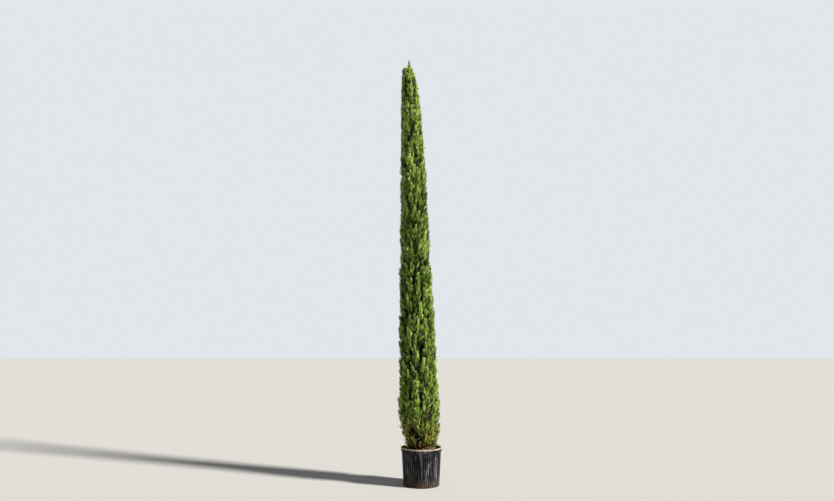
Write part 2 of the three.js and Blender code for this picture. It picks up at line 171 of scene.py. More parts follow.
def trunk_centre(z):
    """Where the trunk's centre line is at height z, which may be an array."""
    s = np.maximum(0, (np.asarray(z, float) - SOIL_TOP) / (TREE_TOP - SOIL_TOP))
    sway = SWAY * np.sin(2 * np.pi * s)
    return LEAN_X * s + TOP_HANG * s**HANG_POWER + sway, -sway


def trunk_radius(z):
    """The trunk's mean radius at height z."""
    s = (z - SOIL_TOP) / (TRUNK_TOP - SOIL_TOP)
    shaft = mix(TRUNK_TIP_RADIUS, TRUNK_RADIUS, max(0, 1 - s) ** TRUNK_TAPER)
    return shaft + FLARE_RADIUS * math.exp(-(z - SOIL_TOP) / FLARE_HEIGHT)


def crown_radius(z):
    """The crown's radius at height z, which may be an array."""
    s = np.clip((np.asarray(z, float) - CROWN_FOOT) / (TREE_TOP - CROWN_FOOT), 0, 1)
    girth = GIRTH_TOP + GIRTH_SPREAD * (1 - s) ** SPREAD_POWER
    tip = (1 - s**TIP_POWER) ** TIP_ROUND
    foot = 1 - FOOT_DRAW * np.maximum(0, 1 - s / FOOT_SHARE) ** 2
    return girth * tip * foot


def around(angle, radius, z):
    """The point at an angle and a radius from the trunk's centre line."""
    x, y = trunk_centre(z)
    return np.array([float(x) + radius * math.cos(angle), float(y) + radius * math.sin(angle), z])


def lattice_point(j, k):
    """Point k of row j, as (angle, height). Odd rows are turned by half a sector."""
    sector = 2 * math.pi / SECTORS
    number = j * SECTORS + k % SECTORS
    share = 1 - (1 - j / ROWS) ** ROW_POWER
    row_height = (LATTICE_TOP - LATTICE_FOOT) / ROWS
    turn = k + (0.5 if j % 2 else 0) + JITTER_ANGLE * (chance(2 * number) - 0.5)
    jitter = JITTER_HEIGHT * row_height * (chance(2 * number + 1) - 0.5)
    z = mix(LATTICE_FOOT, LATTICE_TOP, share) + jitter
    return sector * turn + TWIST * share, z


class Mass:
    """One diamond of the lattice: its corners, as (angle, height), and how full it is."""

    def __init__(self, j, k):
        shift = 0 if j % 2 else 1
        self.row, self.number = j, j * SECTORS + k
        self.left, self.right = lattice_point(j, k), lattice_point(j, k + 1)
        middle = (self.left[0] + self.right[0]) / 2
        drop = SKIRT_DROP * (0.4 + 0.6 * chance(self.number + 500))
        rise = mix(*TOP_RISE, chance(self.number + 600))
        lowest, highest = (middle, LATTICE_FOOT - drop), (middle, LATTICE_TOP + rise)
        self.foot = lowest if j == 0 else lattice_point(j - 1, k + 1 - shift)
        self.top = highest if j == ROWS else lattice_point(j + 1, k + 1 - shift)
        self.bulge = mix(*BULGE, chance(self.number + 700))
        self.node = f"skirt_foliage_{k + 1}" if j == 0 else f"foliage_row{j}_{k + 1}"

    def side(self, corner, z):
        """The angle of one side at height z, from the foot over its corner to the top."""
        a, b = (self.foot, corner) if z < corner[1] else (corner, self.top)
        return mix(a[0], b[0], (z - a[1]) / (b[1] - a[1]))

    def span(self, z):
        """The middle angle and half the width, in radians, at height z."""
        a, b = self.side(self.left, z), self.side(self.right, z)
        return (a + b) / 2, (b - a) / 2

    def radius(self, z):
        """How far the mass reaches from the trunk's centre line at height z."""
        return self.bulge * float(crown_radius(z))

    def holds(self, p):
        """Whether a point is inside the mass's own space."""
        z = p[2]
        if not self.foot[1] + SPACE_MARGIN < z < self.top[1] - SPACE_MARGIN:
            return False
        x, y = trunk_centre(z)
        r = math.hypot(p[0] - x, p[1] - y)
        if not CORE_INNER * self.radius(z) <= r <= SPRAY_REACH[1] * self.radius(z):
            return False
        middle, half = self.span(z)
        off = math.atan2(p[1] - y, p[0] - x) - middle
        return (half - abs(math.atan2(math.sin(off), math.cos(off)))) * r > SPACE_MARGIN


def flames_of(mass):
    """The flames that stand out of a mass, as (root, tip)."""
    golden = (math.sqrt(5) - 1) / 2
    flames = []
    for i in range(SPRAYS):
        for attempt in range(SPRAY_TRIES):
            n = mass.number * 1000 + i * 40 + attempt * 4
            length = SPRAY_LENGTH * mix(0.8, 1.15, chance(n)) * (1 - 0.06 * attempt)
            z = mix(mass.foot[1], mass.top[1], mix(0.06, 0.88, (i + chance(n + 1)) / SPRAYS))
            z_tip = min(z + length, mass.top[1] - SPACE_MARGIN * 2)
            side = (2 * ((i * golden + 0.13 * mass.number) % 1) - 1) * (1 - 0.07 * attempt)
            low, high = mass.span(z), mass.span(z_tip)
            root = around(low[0] + side * low[1] * 0.72, CORE_OUTER * mass.radius(z) - 0.014, z)
            reach = mix(*SPRAY_REACH, chance(n + 2)) * mass.radius(z_tip) - 0.001
            tip = around(high[0] + side * high[1] * SPRAY_DRAW, reach, z_tip)
            if z + length * 0.6 < mass.top[1] and mass.holds(tip) and mass.holds(root):
                flames.append((root, tip))
                break
    return flames


def unit(v):
    """Directions of length 1 from an array of them."""
    return v / np.maximum(np.linalg.norm(v, axis=-1, keepdims=True), 1e-9)


def frames_along(along):
    """Two directions across each direction, so that across, second and along are a right-handed set."""
    helper = np.where(np.abs(along[:, 2:3]) < 0.8, [[0.0, 0.0, 1.0]], [[1.0, 0.0, 0.0]])
    across = unit(np.cross(along, helper))
    return across, np.cross(along, across)


def spindles(base, tip, radius, belly=0.4, sides=3):
    """Closed spindles from base to tip: (vertices, triangles)."""
    reach = tip - base
    across, second = frames_along(unit(reach))
    middle = base + belly * reach
    ring = []
    for a in np.arange(sides) * 2 * np.pi / sides:
        ring.append(middle + radius[:, None] * (math.cos(a) * across + math.sin(a) * second))
    vertices = np.stack([base, *ring, tip], axis=1)
    faces = []
    for k in range(sides):
        a, b = 1 + k, 1 + (k + 1) % sides
        faces += [(a, b, sides + 1), (b, a, 0)]
    triangles = np.array(faces)[None] + (np.arange(len(base)) * (sides + 2))[:, None, None]
    return vertices.reshape(-1, 3), triangles.reshape(-1, 3)


def linear(c):
    """A colour value of 0 to 255 as the renderer's linear one."""
    c /= 255
    return c / 12.92 if c <= 0.04045 else ((c + 0.055) / 1.055) ** 2.4


def rgb(*c):
    """A colour from three values of 0 to 255."""
    return (*[linear(v) for v in c], 1)


def start(name, roughness, specular):
    """A new material: (material, its tree, its shader)."""
    material = bpy.data.materials.new(name)
    material.use_nodes = True
    shader = material.node_tree.nodes["Principled BSDF"]
    shader.inputs["Roughness"].default_value = roughness
    shader.inputs["Specular IOR Level"].default_value = specular
    return material, material.node_tree, shader


def plain(name, colour, roughness):
    """A plain finish, for pieces whose colours are dealt out by spray."""
    material, _, shader = start(name, roughness, 0.3)
    shader.inputs["Base Color"].default_value = rgb(*colour)
    return material


def feed(tree, made, inputs):
    """Sets a node's inputs: each is given a value or another node's output."""
    for key, value in dict(inputs).items():
        if isinstance(value, bpy.types.NodeSocket):
            tree.links.new(value, made.inputs[key])
        else:
            made.inputs[key].default_value = value
    return made


def node(tree, kind, inputs=(), **settings):
    """A shader node with its settings and its inputs."""
    made = tree.nodes.new("ShaderNode" + kind)
    for key, value in settings.items():
        setattr(made, key, value)
    return feed(tree, made, inputs)


def placed(tree, group, inputs):
    """A shared effect put into a material."""
    made = tree.nodes.new("ShaderNodeGroup")
    made.node_tree = group
    return feed(tree, made, inputs)


def clouds(tree, place, scale, detail, roughness=0.5):
    """Noise from 0 to 1."""
    inputs = {"Vector": place, "Scale": scale, "Detail": detail, "Roughness": roughness}
    return node(tree, "TexNoise", inputs).outputs["Fac"]


def ranged(tree, value, low, high, to_low=0.0, to_high=1.0):
    """A value's range from low to high, spread from to_low to to_high."""
    inputs = {"Value": value, "From Min": low, "From Max": high, "To Min": to_low, "To Max": to_high}
    return node(tree, "MapRange", inputs).outputs[0]


def times(tree, a, b, **settings):
    """The product of two values."""
    return node(tree, "Math", {0: a, 1: b}, operation="MULTIPLY", **settings).outputs[0]


def blend(tree, share, low, high, **settings):
    """One colour over another by a share."""
    return node(tree, "MixRGB", {"Fac": share, "Color1": low, "Color2": high}, **settings).outputs[0]


def bumped(tree, shader, height, strength, distance):
    """Fine relief on a material."""
    bump = node(tree, "Bump", {"Height": height, "Strength": strength, "Distance": distance})
    tree.links.new(bump.outputs[0], shader.inputs["Normal"])


def dusted(tree, dust, place, colour, dust_colour, amount, patch_scale, speck_scale):
    """Dust laid over a colour: the placed group, with its Color and its Mask."""
    return placed(tree, dust, {
        "Vector": place, "Color": colour, "Dust Color": dust_colour, "Amount": amount,
        "Patch Scale": patch_scale, "Speck Scale": speck_scale})


def effect_group(name, inputs, outputs):
    """An empty shader node group with named sockets: (group, its input node, its output node)."""
    group = bpy.data.node_groups.new(name, "ShaderNodeTree")
    for socket, kind, value in inputs:
        made = group.interface.new_socket(socket, in_out="INPUT", socket_type="NodeSocket" + kind)
        if value is not None:
            made.default_value = value
    for socket, kind in outputs:
        group.interface.new_socket(socket, in_out="OUTPUT", socket_type="NodeSocket" + kind)
    return group, group.nodes.new("NodeGroupInput"), group.nodes.new("NodeGroupOutput")


def make_dust_group():
    """Dust in soft patches and specks over a colour, with the mask that it lies by."""
    group, given, out = effect_group(
        "dust_veil",
        [("Vector", "Vector", None), ("Color", "Color", (0, 0, 0, 1)),
         ("Dust Color", "Color", (0.3, 0.25, 0.2, 1)), ("Amount", "Float", 0.5),
         ("Patch Scale", "Float", 8.0), ("Speck Scale", "Float", 180.0)],
        [("Color", "Color"), ("Mask", "Float")],
    )
    g = given.outputs
    soft = ranged(group, clouds(group, g["Vector"], g["Patch Scale"], 6.0), 0.35, 0.75)
    fine = ranged(group, clouds(group, g["Vector"], g["Speck Scale"], 2.0), 0.4, 0.7)
    both = node(group, "Math", {0: times(group, soft, fine), 1: soft}, operation="ADD").outputs[0]
    mask = times(group, both, g["Amount"], use_clamp=True)
    group.links.new(blend(group, mask, g["Color"], g["Dust Color"]), out.inputs["Color"])
    group.links.new(mask, out.inputs["Mask"])
    return group


def make_streak_group():
    """Upright streaks round the Z axis, from 0 to 1: painted highlight streaks on a wall, or strips of
    bark.
    """
    group, given, out = effect_group(
        "upright_streaks",
        [("Vector", "Vector", None), ("Across Scale", "Float", 60.0), ("Stretch", "Float", 0.05),
         ("Low", "Float", 0.35), ("High", "Float", 0.7)],
        [("Mask", "Float")],
    )
    g = given.outputs
    parts = node(group, "SeparateXYZ", {0: g["Vector"]}).outputs
    squeezed = times(group, parts["Z"], g["Stretch"])
    flat = node(group, "CombineXYZ", {"X": parts["X"], "Y": parts["Y"], "Z": squeezed}).outputs[0]
    streaked = ranged(group, clouds(group, flat, g["Across Scale"], 5.0), g["Low"], g["High"])
    group.links.new(streaked, out.inputs["Mask"])
    return group


def pot_finish(dust, streaks):
    """Black moulded plastic, dusty, with pale streaks of painted highlight on the flutes and a scuffed,
    bleached lip.
    """
    material, tree, shader = start("black_nursery_plastic", 0.55, 0.1)
    place = node(tree, "TexCoord").outputs["Object"]
    z = node(tree, "SeparateXYZ", {0: place}).outputs["Z"]
    # Painted highlight: the pale bluish streaks stand for sheen on the flutes, and show only in patches.
    highlight_streaks = placed(tree, streaks, {
        "Vector": place, "Across Scale": 90.0, "Stretch": 0.02, "Low": 0.53, "High": 0.76})
    highlight_patches = ranged(tree, clouds(tree, place, 11.0, 6.0, 0.68), 0.4, 0.62, 0.08)
    base = blend(tree, times(tree, highlight_streaks.outputs["Mask"], highlight_patches), rgb(6, 6, 7), rgb(132, 133, 139))
    dusty = dusted(tree, dust, place, base, rgb(100, 92, 84), 0.05, 9.0, 260.0)
    splash = ranged(tree, z, 0.10, 0.0, 0.0, 0.55)
    grit = ranged(tree, clouds(tree, place, 70.0, 8.0, 0.7), 0.42, 0.62)
    muddy = blend(tree, times(tree, splash, grit), dusty.outputs["Color"], rgb(112, 92, 70))
    lip = ranged(tree, z, 0.403, 0.409)
    wear = ranged(tree, clouds(tree, place, 24.0, 4.0), 0.34, 0.54, 0.2, 0.95)
    colour = blend(tree, times(tree, lip, wear), muddy, rgb(172, 160, 140))
    tree.links.new(colour, shader.inputs["Base Color"])
    rough = ranged(tree, dusty.outputs["Mask"], 0.0, 1.0, 0.42, 0.85)
    tree.links.new(rough, shader.inputs["Roughness"])
    bumped(tree, shader, clouds(tree, place, 420.0, 3.0), 0.12, 0.001)
    return material


def bark_finish(dust, streaks):
    """Dark grey-brown bark in thin upright strips, reddish where it has split."""
    material, tree, shader = start("stringy_bark", 0.9, 0.2)
    place = node(tree, "TexCoord").outputs["Object"]
    strips = placed(tree, streaks, {
        "Vector": place, "Across Scale": 190.0, "Stretch": 0.06, "Low": 0.38, "High": 0.62,
    }).outputs["Mask"]
    base = blend(tree, strips, rgb(38, 25, 19), rgb(104, 82, 66))
    patches = ranged(tree, clouds(tree, place, 22.0, 4.0), 0.5, 0.72, 0.0, 0.6)
    split = blend(tree, patches, base, rgb(116, 70, 44))
    dusty = dusted(tree, dust, place, split, rgb(134, 124, 108), 0.2, 30.0, 400.0)
    tree.links.new(dusty.outputs["Color"], shader.inputs["Base Color"])
    bumped(tree, shader, blend(tree, 0.3, strips, clouds(tree, place, 600.0, 5.0)), 0.6, 0.002)
    return material


def soil_finish(dust):
    """Dry potting soil: dark crumbs, bark chips and pale specks under dust."""
    material, tree, shader = start("dry_potting_soil", 0.95, 0.15)
    place = node(tree, "TexCoord").outputs["Object"]
    crumbs = node(tree, "TexVoronoi", {"Vector": place, "Scale": 130.0}).outputs
    shade = clouds(tree, place, 26.0, 8.0, 0.65)
    ramp = node(tree, "ValToRGB", {"Fac": shade})
    steps = ramp.color_ramp.elements
    steps[0].position, steps[0].color = 0.34, rgb(40, 28, 18)
    steps[1].position, steps[1].color = 0.68, rgb(118, 92, 62)
    steps.new(0.5).color = rgb(78, 56, 36)
    chips = blend(tree, 0.25, ramp.outputs[0], crumbs["Color"], blend_type="SOFT_LIGHT")
    dusty = dusted(tree, dust, place, chips, rgb(150, 128, 98), 0.25, 14.0, 320.0)
    tree.links.new(dusty.outputs["Color"], shader.inputs["Base Color"])
    bumped(tree, shader, blend(tree, 0.5, crumbs["Distance"], shade), 0.9, 0.004)
    return material


dust = make_dust_group()
streaks = make_streak_group()
pot_plastic = pot_finish(dust, streaks)
bark = bark_finish(dust, streaks)
soil_surface = soil_finish(dust)

# The sprays' finishes, from the sunlit outside to the shaded inside, and their places in the list:
# painted light and shade. The brightest is partly real new growth and partly painted highlight.
NEW_GROWTH_AND_HIGHLIGHT, SUNNY, MID, GREY, DEEP, DARK, OLIVE, STRAW = range(8)
GREENS = [
    plain("new_growth_and_highlight_yellow_green", (187, 208, 112), 0.45),
    plain("sunny_green", (139, 165, 58), 0.48),
    plain("mid_green", (90, 119, 30), 0.55),
    plain("grey_green", (122, 148, 104), 0.55),
    plain("deep_green", (40, 63, 12), 0.6),
    plain("dark_green", (12, 23, 4), 0.65),
    plain("olive_green", (138, 136, 46), 0.55),
    plain("straw_brown", (150, 112, 58), 0.75),
]
# Near-black finishes for the inner foliage: partly its real older and dead growth, partly painted shade.
SHADED = [
    plain("inner_dark_green", (16, 26, 4), 0.75),
    plain("inner_olive", (28, 28, 8), 0.75),
    plain("inner_dead_brown", (44, 31, 20), 0.85),
]
LITTER = [
    plain("litter_orange_brown", (142, 96, 54), 0.85),
    plain("litter_tan", (160, 130, 88), 0.85),
    plain("litter_dark_brown", (76, 52, 34), 0.9),
    plain("litter_grey", (120, 108, 92), 0.9),
]
YOUNG_BARK = [
    plain("young_bark_brown", (84, 62, 44), 0.85),
    plain("young_bark_green_brown", (78, 70, 42), 0.8),
]


def ride(name, mesh):
    """A visible piece of the plant from its mesh."""
    piece = bpy.data.objects.new(name, mesh)
    scene.collection.objects.link(piece)
    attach(piece, "root")
    return piece


def finish_piece(bm, name, material, smooth_angle=None):
    """A piece from a bmesh, smooth, with edges kept sharp over smooth_angle degrees."""
    bmesh.ops.recalc_face_normals(bm, faces=bm.faces[:])
    mesh = bpy.data.meshes.new(name)
    bm.to_mesh(mesh)
    bm.free()
    mesh.materials.append(material)
    mesh.polygons.foreach_set("use_smooth", np.ones(len(mesh.polygons), bool))
    if smooth_angle:
        mesh.set_sharp_from_angle(angle=math.radians(smooth_angle))
    return ride(name, mesh)


def joined(name, vertices, triangles, materials, indices):
    """A piece from arrays: indices gives each triangle's material."""
    mesh = bpy.data.meshes.new(name)
    mesh.from_pydata(vertices.tolist(), [], triangles.tolist())
    for material in materials:
        mesh.materials.append(material)
    mesh.polygons.foreach_set("material_index", np.asarray(indices, np.int32))
    mesh.polygons.foreach_set("use_smooth", np.ones(len(triangles), bool))
    mesh.update()
    return ride(name, mesh)


def spun(outline, steps):
    """A closed turned form from a profile of (radius, height) that starts and ends on the axis."""
    bm = bmesh.new()
    points = [bm.verts.new((r, 0, z)) for r, z in outline]
    edges = [bm.edges.new(pair) for pair in zip(points, points[1:])]
    bmesh.ops.spin(bm, geom=points + edges, axis=(0, 0, 1), cent=(0, 0, 0), steps=steps,
                   angle=2 * math.pi, use_merge=True)
    bmesh.ops.remove_doubles(bm, verts=bm.verts[:], dist=1e-6)
    return bm


def rounded(outline, radius, segments):
    """The same profile with each corner off the axis rounded."""
    result = [outline[0]]
    for a, b, c in zip(outline, outline[1:], outline[2:]):
        a, b, c = Vector(a), Vector(b), Vector(c)
        cut = min(radius, (a - b).length * 0.45, (c - b).length * 0.45)
        p, q = b + (a - b).normalized() * cut, b + (c - b).normalized() * cut
        for i in range(segments + 1):
            t = i / segments
            result.append(tuple(p * (1 - t) ** 2 + b * 2 * t * (1 - t) + q * t * t))
    return result + [outline[-1]]


def pot_outline():
    """The pot's profile, from under its foot up the wall, over the collar and down inside."""
    collar_foot = POT_HEIGHT - COLLAR_HEIGHT
    inner = POT_WALL_RADIUS - FLUTE_DEPTH
    wall = [(mix(POT_BASE_RADIUS, POT_WALL_RADIUS, t), mix(0.004, collar_foot - 0.004, t))
            for t in np.linspace(0.02, 0.98, 26)]
    outline = [(0, 0.003), (POT_BASE_RADIUS - 0.03, 0.003), (POT_BASE_RADIUS - 0.022, 0.0),
               (POT_BASE_RADIUS - 0.002, 0.0), *wall]
    outline += [(COLLAR_RADIUS - 0.001, collar_foot), (COLLAR_RADIUS - 0.0012, POT_HEIGHT - 0.014),
                (COLLAR_RADIUS, POT_HEIGHT - 0.010), (COLLAR_RADIUS, POT_HEIGHT), (inner, POT_HEIGHT),
                (inner - POT_WALL, POT_HEIGHT - 0.006),
                (POT_BASE_RADIUS - FLUTE_DEPTH - POT_WALL, POT_FLOOR), (0, POT_FLOOR)]
    return rounded(outline, 0.0018, 2)


def flute(bm):
    """Presses the upright flutes into the wall under the collar."""
    collar_foot = POT_HEIGHT - COLLAR_HEIGHT
    for v in bm.verts:
        r = math.hypot(v.co.x, v.co.y)
        if r < POT_BASE_RADIUS - 0.0005 or v.co.z > collar_foot - 0.003:
            continue
        wave = 0.5 - 0.5 * math.cos(FLUTES * math.atan2(v.co.y, v.co.x))
        fade = min(1, (collar_foot - v.co.z) / 0.02) * min(1, v.co.z / 0.02)
        k = 1 - FLUTE_DEPTH * 0.8 * fade * wave**1.5 / r
        v.co.x *= k
        v.co.y *= k


def drain_drills():
    """The rods, round the pot's foot, that cut its drain holes."""
    drill = bmesh.new()
    across = Vector((1, 0, 0))
    lay = Vector((0, 0, 1)).rotation_difference(across).to_matrix()
    place = (POT_BASE_RADIUS, 0, POT_FLOOR + DRAIN_RADIUS + 0.004)
    for i in range(DRAIN_HOLES):
        angle = (i + 0.5) * 2 * math.pi / DRAIN_HOLES
        rod = bmesh.ops.create_cone(drill, cap_ends=True, segments=20, radius1=DRAIN_RADIUS,
                                    radius2=DRAIN_RADIUS, depth=0.06)["verts"]
        bmesh.ops.rotate(drill, verts=rod, cent=(0, 0, 0), matrix=lay)
        bmesh.ops.translate(drill, verts=rod, vec=place)
        turn = across.rotation_difference(Vector((math.cos(angle), math.sin(angle), 0)))
        bmesh.ops.rotate(drill, verts=rod, cent=(0, 0, 0), matrix=turn.to_matrix())
    mesh = bpy.data.meshes.new("drain_drill")
    drill.to_mesh(mesh)
    drill.free()
    return bpy.data.objects.new("drain_drill", mesh)


def make_pot():
    """The pot: a turned and fluted shell with drain holes."""
    bm = spun(pot_outline(), 240)
    flute(bm)
    pot = finish_piece(bm, "fluted_pot", pot_plastic, 35)
    cutter = drain_drills()
    scene.collection.objects.link(cutter)
    cut = pot.modifiers.new("drain_holes", "BOOLEAN")
    cut.object, cut.operation, cut.solver = cutter, "DIFFERENCE", "EXACT"
    bpy.context.view_layer.update()
    pot.data = bpy.data.meshes.new_from_object(
        pot.evaluated_get(bpy.context.evaluated_depsgraph_get()))
    pot.data.name = "fluted_pot"
    pot.modifiers.clear()
    bpy.data.objects.remove(cutter)
    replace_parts(pot, "pot")


def bumps(x, y, scale, z):
    """Noise over the ground plan, of a scale, from -1 to 1."""
    return noise.noise(Vector((x * scale, y * scale, z)))


def soil_height(x, y):
    """The height of the soil's surface: mounded at the trunk, crumbly, a little low at the wall."""
    r = math.hypot(x, y)
    mound = SOIL_MOUND * max(0, 1 - max(0, r - 0.06) / 0.15)
    lumps = 0.006 * bumps(x, y, 22, 3) + 0.004 * bumps(x, y, 60, 7)
    crumbs = 0.0025 * bumps(x, y, 170, 1)
    return SOIL_TOP - 0.004 + mound + (lumps + crumbs) * min(1, max(0.15, (r - 0.03) / 0.05))


def make_soil():
    """The soil: a turned body in the pot, with a crumbly surface."""
    edge = POT_WALL_RADIUS - FLUTE_DEPTH - POT_WALL - 0.0024
    foot = POT_BASE_RADIUS - FLUTE_DEPTH - POT_WALL - 0.001
    rings = [(r, SOIL_TOP) for r in np.linspace(0, edge, 52)]
    bm = spun([*rings, (foot, POT_FLOOR + 0.0006), (0, POT_FLOOR + 0.0006)], 180)
    for v in bm.verts:
        if v.co.z > 0.3:
            v.co.z = soil_height(v.co.x, v.co.y)
    soil = finish_piece(bm, "soil_surface", soil_surface)
    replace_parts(soil, "soil")


def make_litter():
    """Dry foliage, bits of twig and bark chips on the soil."""
    rng = np.random.default_rng(11)
    count = LITTER_PIECES
    angle = rng.uniform(0, 2 * np.pi, count)
    r = np.sqrt(rng.uniform(0.045**2, 0.205**2, count))
    turn = rng.uniform(0, 2 * np.pi, count)
    length = rng.uniform(0.008, 0.034, count)
    middle = np.stack([r * np.cos(angle), r * np.sin(angle)], axis=1)
    half = 0.5 * length[:, None] * np.stack([np.cos(turn), np.sin(turn)], axis=1)
    ends = []
    for flat in (middle - half, middle + half):
        far = np.linalg.norm(flat, axis=1, keepdims=True)
        flat = flat * np.minimum(1, 0.213 / far)
        height = [soil_height(x, y) for x, y in flat]
        ends.append(np.column_stack([flat, np.array(height) + rng.uniform(0.001, 0.004, count)]))
    vertices, triangles = spindles(ends[0], ends[1], rng.uniform(0.0008, 0.0022, count), 0.5)
    shades = np.repeat(rng.choice(len(LITTER), count, p=[0.42, 0.24, 0.22, 0.12]), 6)
    joined("dry_litter", vertices, triangles, LITTER, shades)


def ring_noise(turn, across, z):
    """Noise on a cylinder, from -1 to 1, without a seam: across sets how fine it is round the axis."""
    return noise.noise(Vector((across * math.cos(turn), across * math.sin(turn), z)))


def bark_relief(angle, z, radius):
    """How far the bark stands out at an angle and a height: long ridges that split and close."""
    turn = angle + 0.5 * z
    wander = 0.5 * ring_noise(turn, 3, 5 * z)
    return radius * (0.10 * ring_noise(turn + wander, 9, 7 * z) + 0.035 * ring_noise(turn, 26, 24 * z))


def swept(name, centre, radius, heights, sides, node_name):
    """A limb with relief: rings extruded one after another up its centre line, closed at both ends."""
    bm = bmesh.new()
    ring = bmesh.ops.create_circle(bm, segments=sides, radius=1, cap_ends=True)["verts"]
    edges = bm.edges[:]
    rings = [ring]
    for _ in heights[1:]:
        made = bmesh.ops.extrude_edge_only(bm, edges=edges)["geom"]
        edges = [g for g in made if isinstance(g, bmesh.types.BMEdge)
                 and all(v in made for v in g.verts)]
        rings.append([g for g in made if isinstance(g, bmesh.types.BMVert)])
    for ring, h in zip(rings, heights):
        middle, across, second = centre(h)
        for v in ring:
            angle = math.atan2(v.co.y, v.co.x)
            r = radius(h, angle)
            v.co = middle + across * (r * math.cos(angle)) + second * (r * math.sin(angle))
    bmesh.ops.contextual_create(bm, geom=edges)
    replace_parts(finish_piece(bm, name, bark), node_name)


def make_trunk():
    """The trunk, from its flat cut on the soil to its tip."""
    foot = SOIL_TOP + SOIL_MOUND + GAP
    heights = [foot + (TRUNK_TOP - foot) * t**1.6 for t in np.linspace(0, 1, 170)]

    def centre(z):
        x, y = trunk_centre(z)
        return Vector((float(x), float(y), z)), Vector((1, 0, 0)), Vector((0, 1, 0))

    def radius(z, angle):
        flare = math.exp(-(z - SOIL_TOP) / FLARE_HEIGHT)
        lobe = 1 + FLARE_LOBE_DEPTH * flare * math.cos(FLARE_LOBES * angle)
        r = trunk_radius(z) * lobe
        return r + bark_relief(angle, z, r) - 0.03 * r

    swept("bark_trunk", centre, radius, heights, 48, "trunk")


def make_boughs(masses):
    """The boughs under the lowest masses, each from inside the trunk up into its mass."""
    for k, mass in enumerate(masses[:SECTORS]):
        angle = mass.span(BOUGH_TIP_HEIGHT)[0]
        foot = Vector(around(angle, 0.012, BOUGH_FOOT + BOUGH_RISE * k))
        out = BOUGH_TIP_SHARE * float(crown_radius(BOUGH_TIP_HEIGHT))
        tip = Vector(around(angle, out, BOUGH_TIP_HEIGHT))
        along = (tip - foot).normalized()
        across = along.cross(Vector((0, 0, 1))).normalized()
        second = along.cross(across)

        def centre(t):
            return foot.lerp(tip, t), across, second

        def radius(t, turn):
            collar = 1 + 0.5 * max(0, 0.25 - t) / 0.25
            r = mix(BOUGH_RADIUS[0] * collar, BOUGH_RADIUS[1], t)
            return r + bark_relief(turn, 3 * k + t * 0.3, r)

        swept(f"bark_bough_{k + 1}", centre, radius, list(np.linspace(0, 1, 26)), 20, f"bough_{k + 1}")


def leaning(turn, slope):
    """A direction that leans by slope from straight up, towards turn."""
    flat = math.sin(slope)
    return np.array([flat * math.cos(turn), flat * math.sin(turn), math.cos(slope)])


def spray_pattern(seed):
    """A slender spray of unit length up Z, as (vertices, triangles): folded blades round a thin axis."""
    rng = np.random.default_rng(seed)
    end = np.array([*rng.normal(0, 0.06, 2), 1.0])
    side = AXIS_WIDTH * leaning(rng.uniform(0, 2 * math.pi), math.pi / 2)
    vertices = [np.zeros(3), end * 0.4 + side, end, end * 0.4 - side]
    triangles = [(0, 1, 2), (0, 2, 3)]
    for i in range(BLADES):
        t = 0.02 + 0.84 * i / BLADES
        out = leaning(i * GOLDEN_ANGLE + rng.normal(0, 0.3), rng.uniform(0.15, 0.5))
        length = mix(0.6, 0.34, t) * rng.uniform(0.8, 1.2)
        base = end * t
        middle = base + out * length * 0.45
        across = unit(np.cross(out, rng.normal(size=3))) * BLADE_WIDTH
        fold = np.cross(out, across) * 0.5
        first = len(vertices)
        vertices += [base, middle + across + fold, base + out * length, middle - across + fold]
        triangles += [(first, first + 1, first + 2), (first, first + 2, first + 3)]
    return np.array(vertices), np.array(triangles)


PATTERNS = [spray_pattern(seed) for seed in range(SPRAY_KINDS)]


class Sprays:
    """Collects sprays, each with a root, a direction, a length, a roll and a finish."""

    def __init__(self):
        self.rows = []

    def add(self, root, direction, length, roll, finish, limit):
        """One spray. Its limit is the share of the crown's radius that it may reach."""
        self.rows.append((*root, *direction, length, roll, finish, limit))

    def arrays(self):
        """All sprays as (vertices, triangles, finish of each triangle), kept in by the crown's reach."""
        data = np.array(self.rows)
        kinds = np.arange(len(data)) % len(PATTERNS)
        all_vertices, all_triangles, all_finish, offset = [], [], [], 0
        for kind, (points, faces) in enumerate(PATTERNS):
            rows = data[kinds == kind]
            along = unit(rows[:, 3:6])
            across, second = frames_along(along)
            turn = rows[:, 7:8]
            u = np.cos(turn) * across + np.sin(turn) * second
            axes = np.stack([u, np.cross(along, u), along], axis=1)
            turned = np.einsum("pi,sij->spj", points, axes)
            vertices = turned * rows[:, 6][:, None, None] + rows[:, None, :3]
            starts = offset + np.arange(len(rows)) * len(points)
            limits = np.repeat(rows[:, 9], len(points))
            all_vertices.append(kept_in(vertices.reshape(-1, 3), limits))
            all_triangles.append((faces[None] + starts[:, None, None]).reshape(-1, 3))
            all_finish.append(np.repeat(rows[:, 8].astype(int), len(faces)))
            offset += len(rows) * len(points)
        return tuple(np.concatenate(part) for part in (all_vertices, all_triangles, all_finish))


def furrow(angle, z):
    """How deep the crown's upright furrows are, from 0 to 1."""
    waves = np.sin(9 * angle + 2.3 * z)
    waves = waves + np.sin(14 * angle - 3.1 * z + 1.0) + np.sin(5 * angle + 5.2 * z + 2.0)
    return np.clip(0.5 + waves / 4, 0, 1) ** 2


def kept_in(vertices, fullness):
    """Draws in the furrows, and part of the way what stands past the crown's outline."""
    z = np.minimum(vertices[:, 2], TREE_TOP - 0.002)
    x, y = trunk_centre(z)
    dx, dy = vertices[:, 0] - x, vertices[:, 1] - y
    r = np.hypot(dx, dy)
    girth = crown_radius(z)
    limit = fullness * girth + 0.002
    wanted = np.where(r > limit, limit + (r - limit) * 0.55, r)
    near_surface = np.clip(r / girth - 0.45, 0, 0.5)
    wanted = wanted - FURROW_DEPTH * furrow(np.arctan2(dy, dx), z) * girth * near_surface * 2
    k = wanted / np.maximum(r, 1e-6)
    return np.column_stack([x + dx * k, y + dy * k, z])


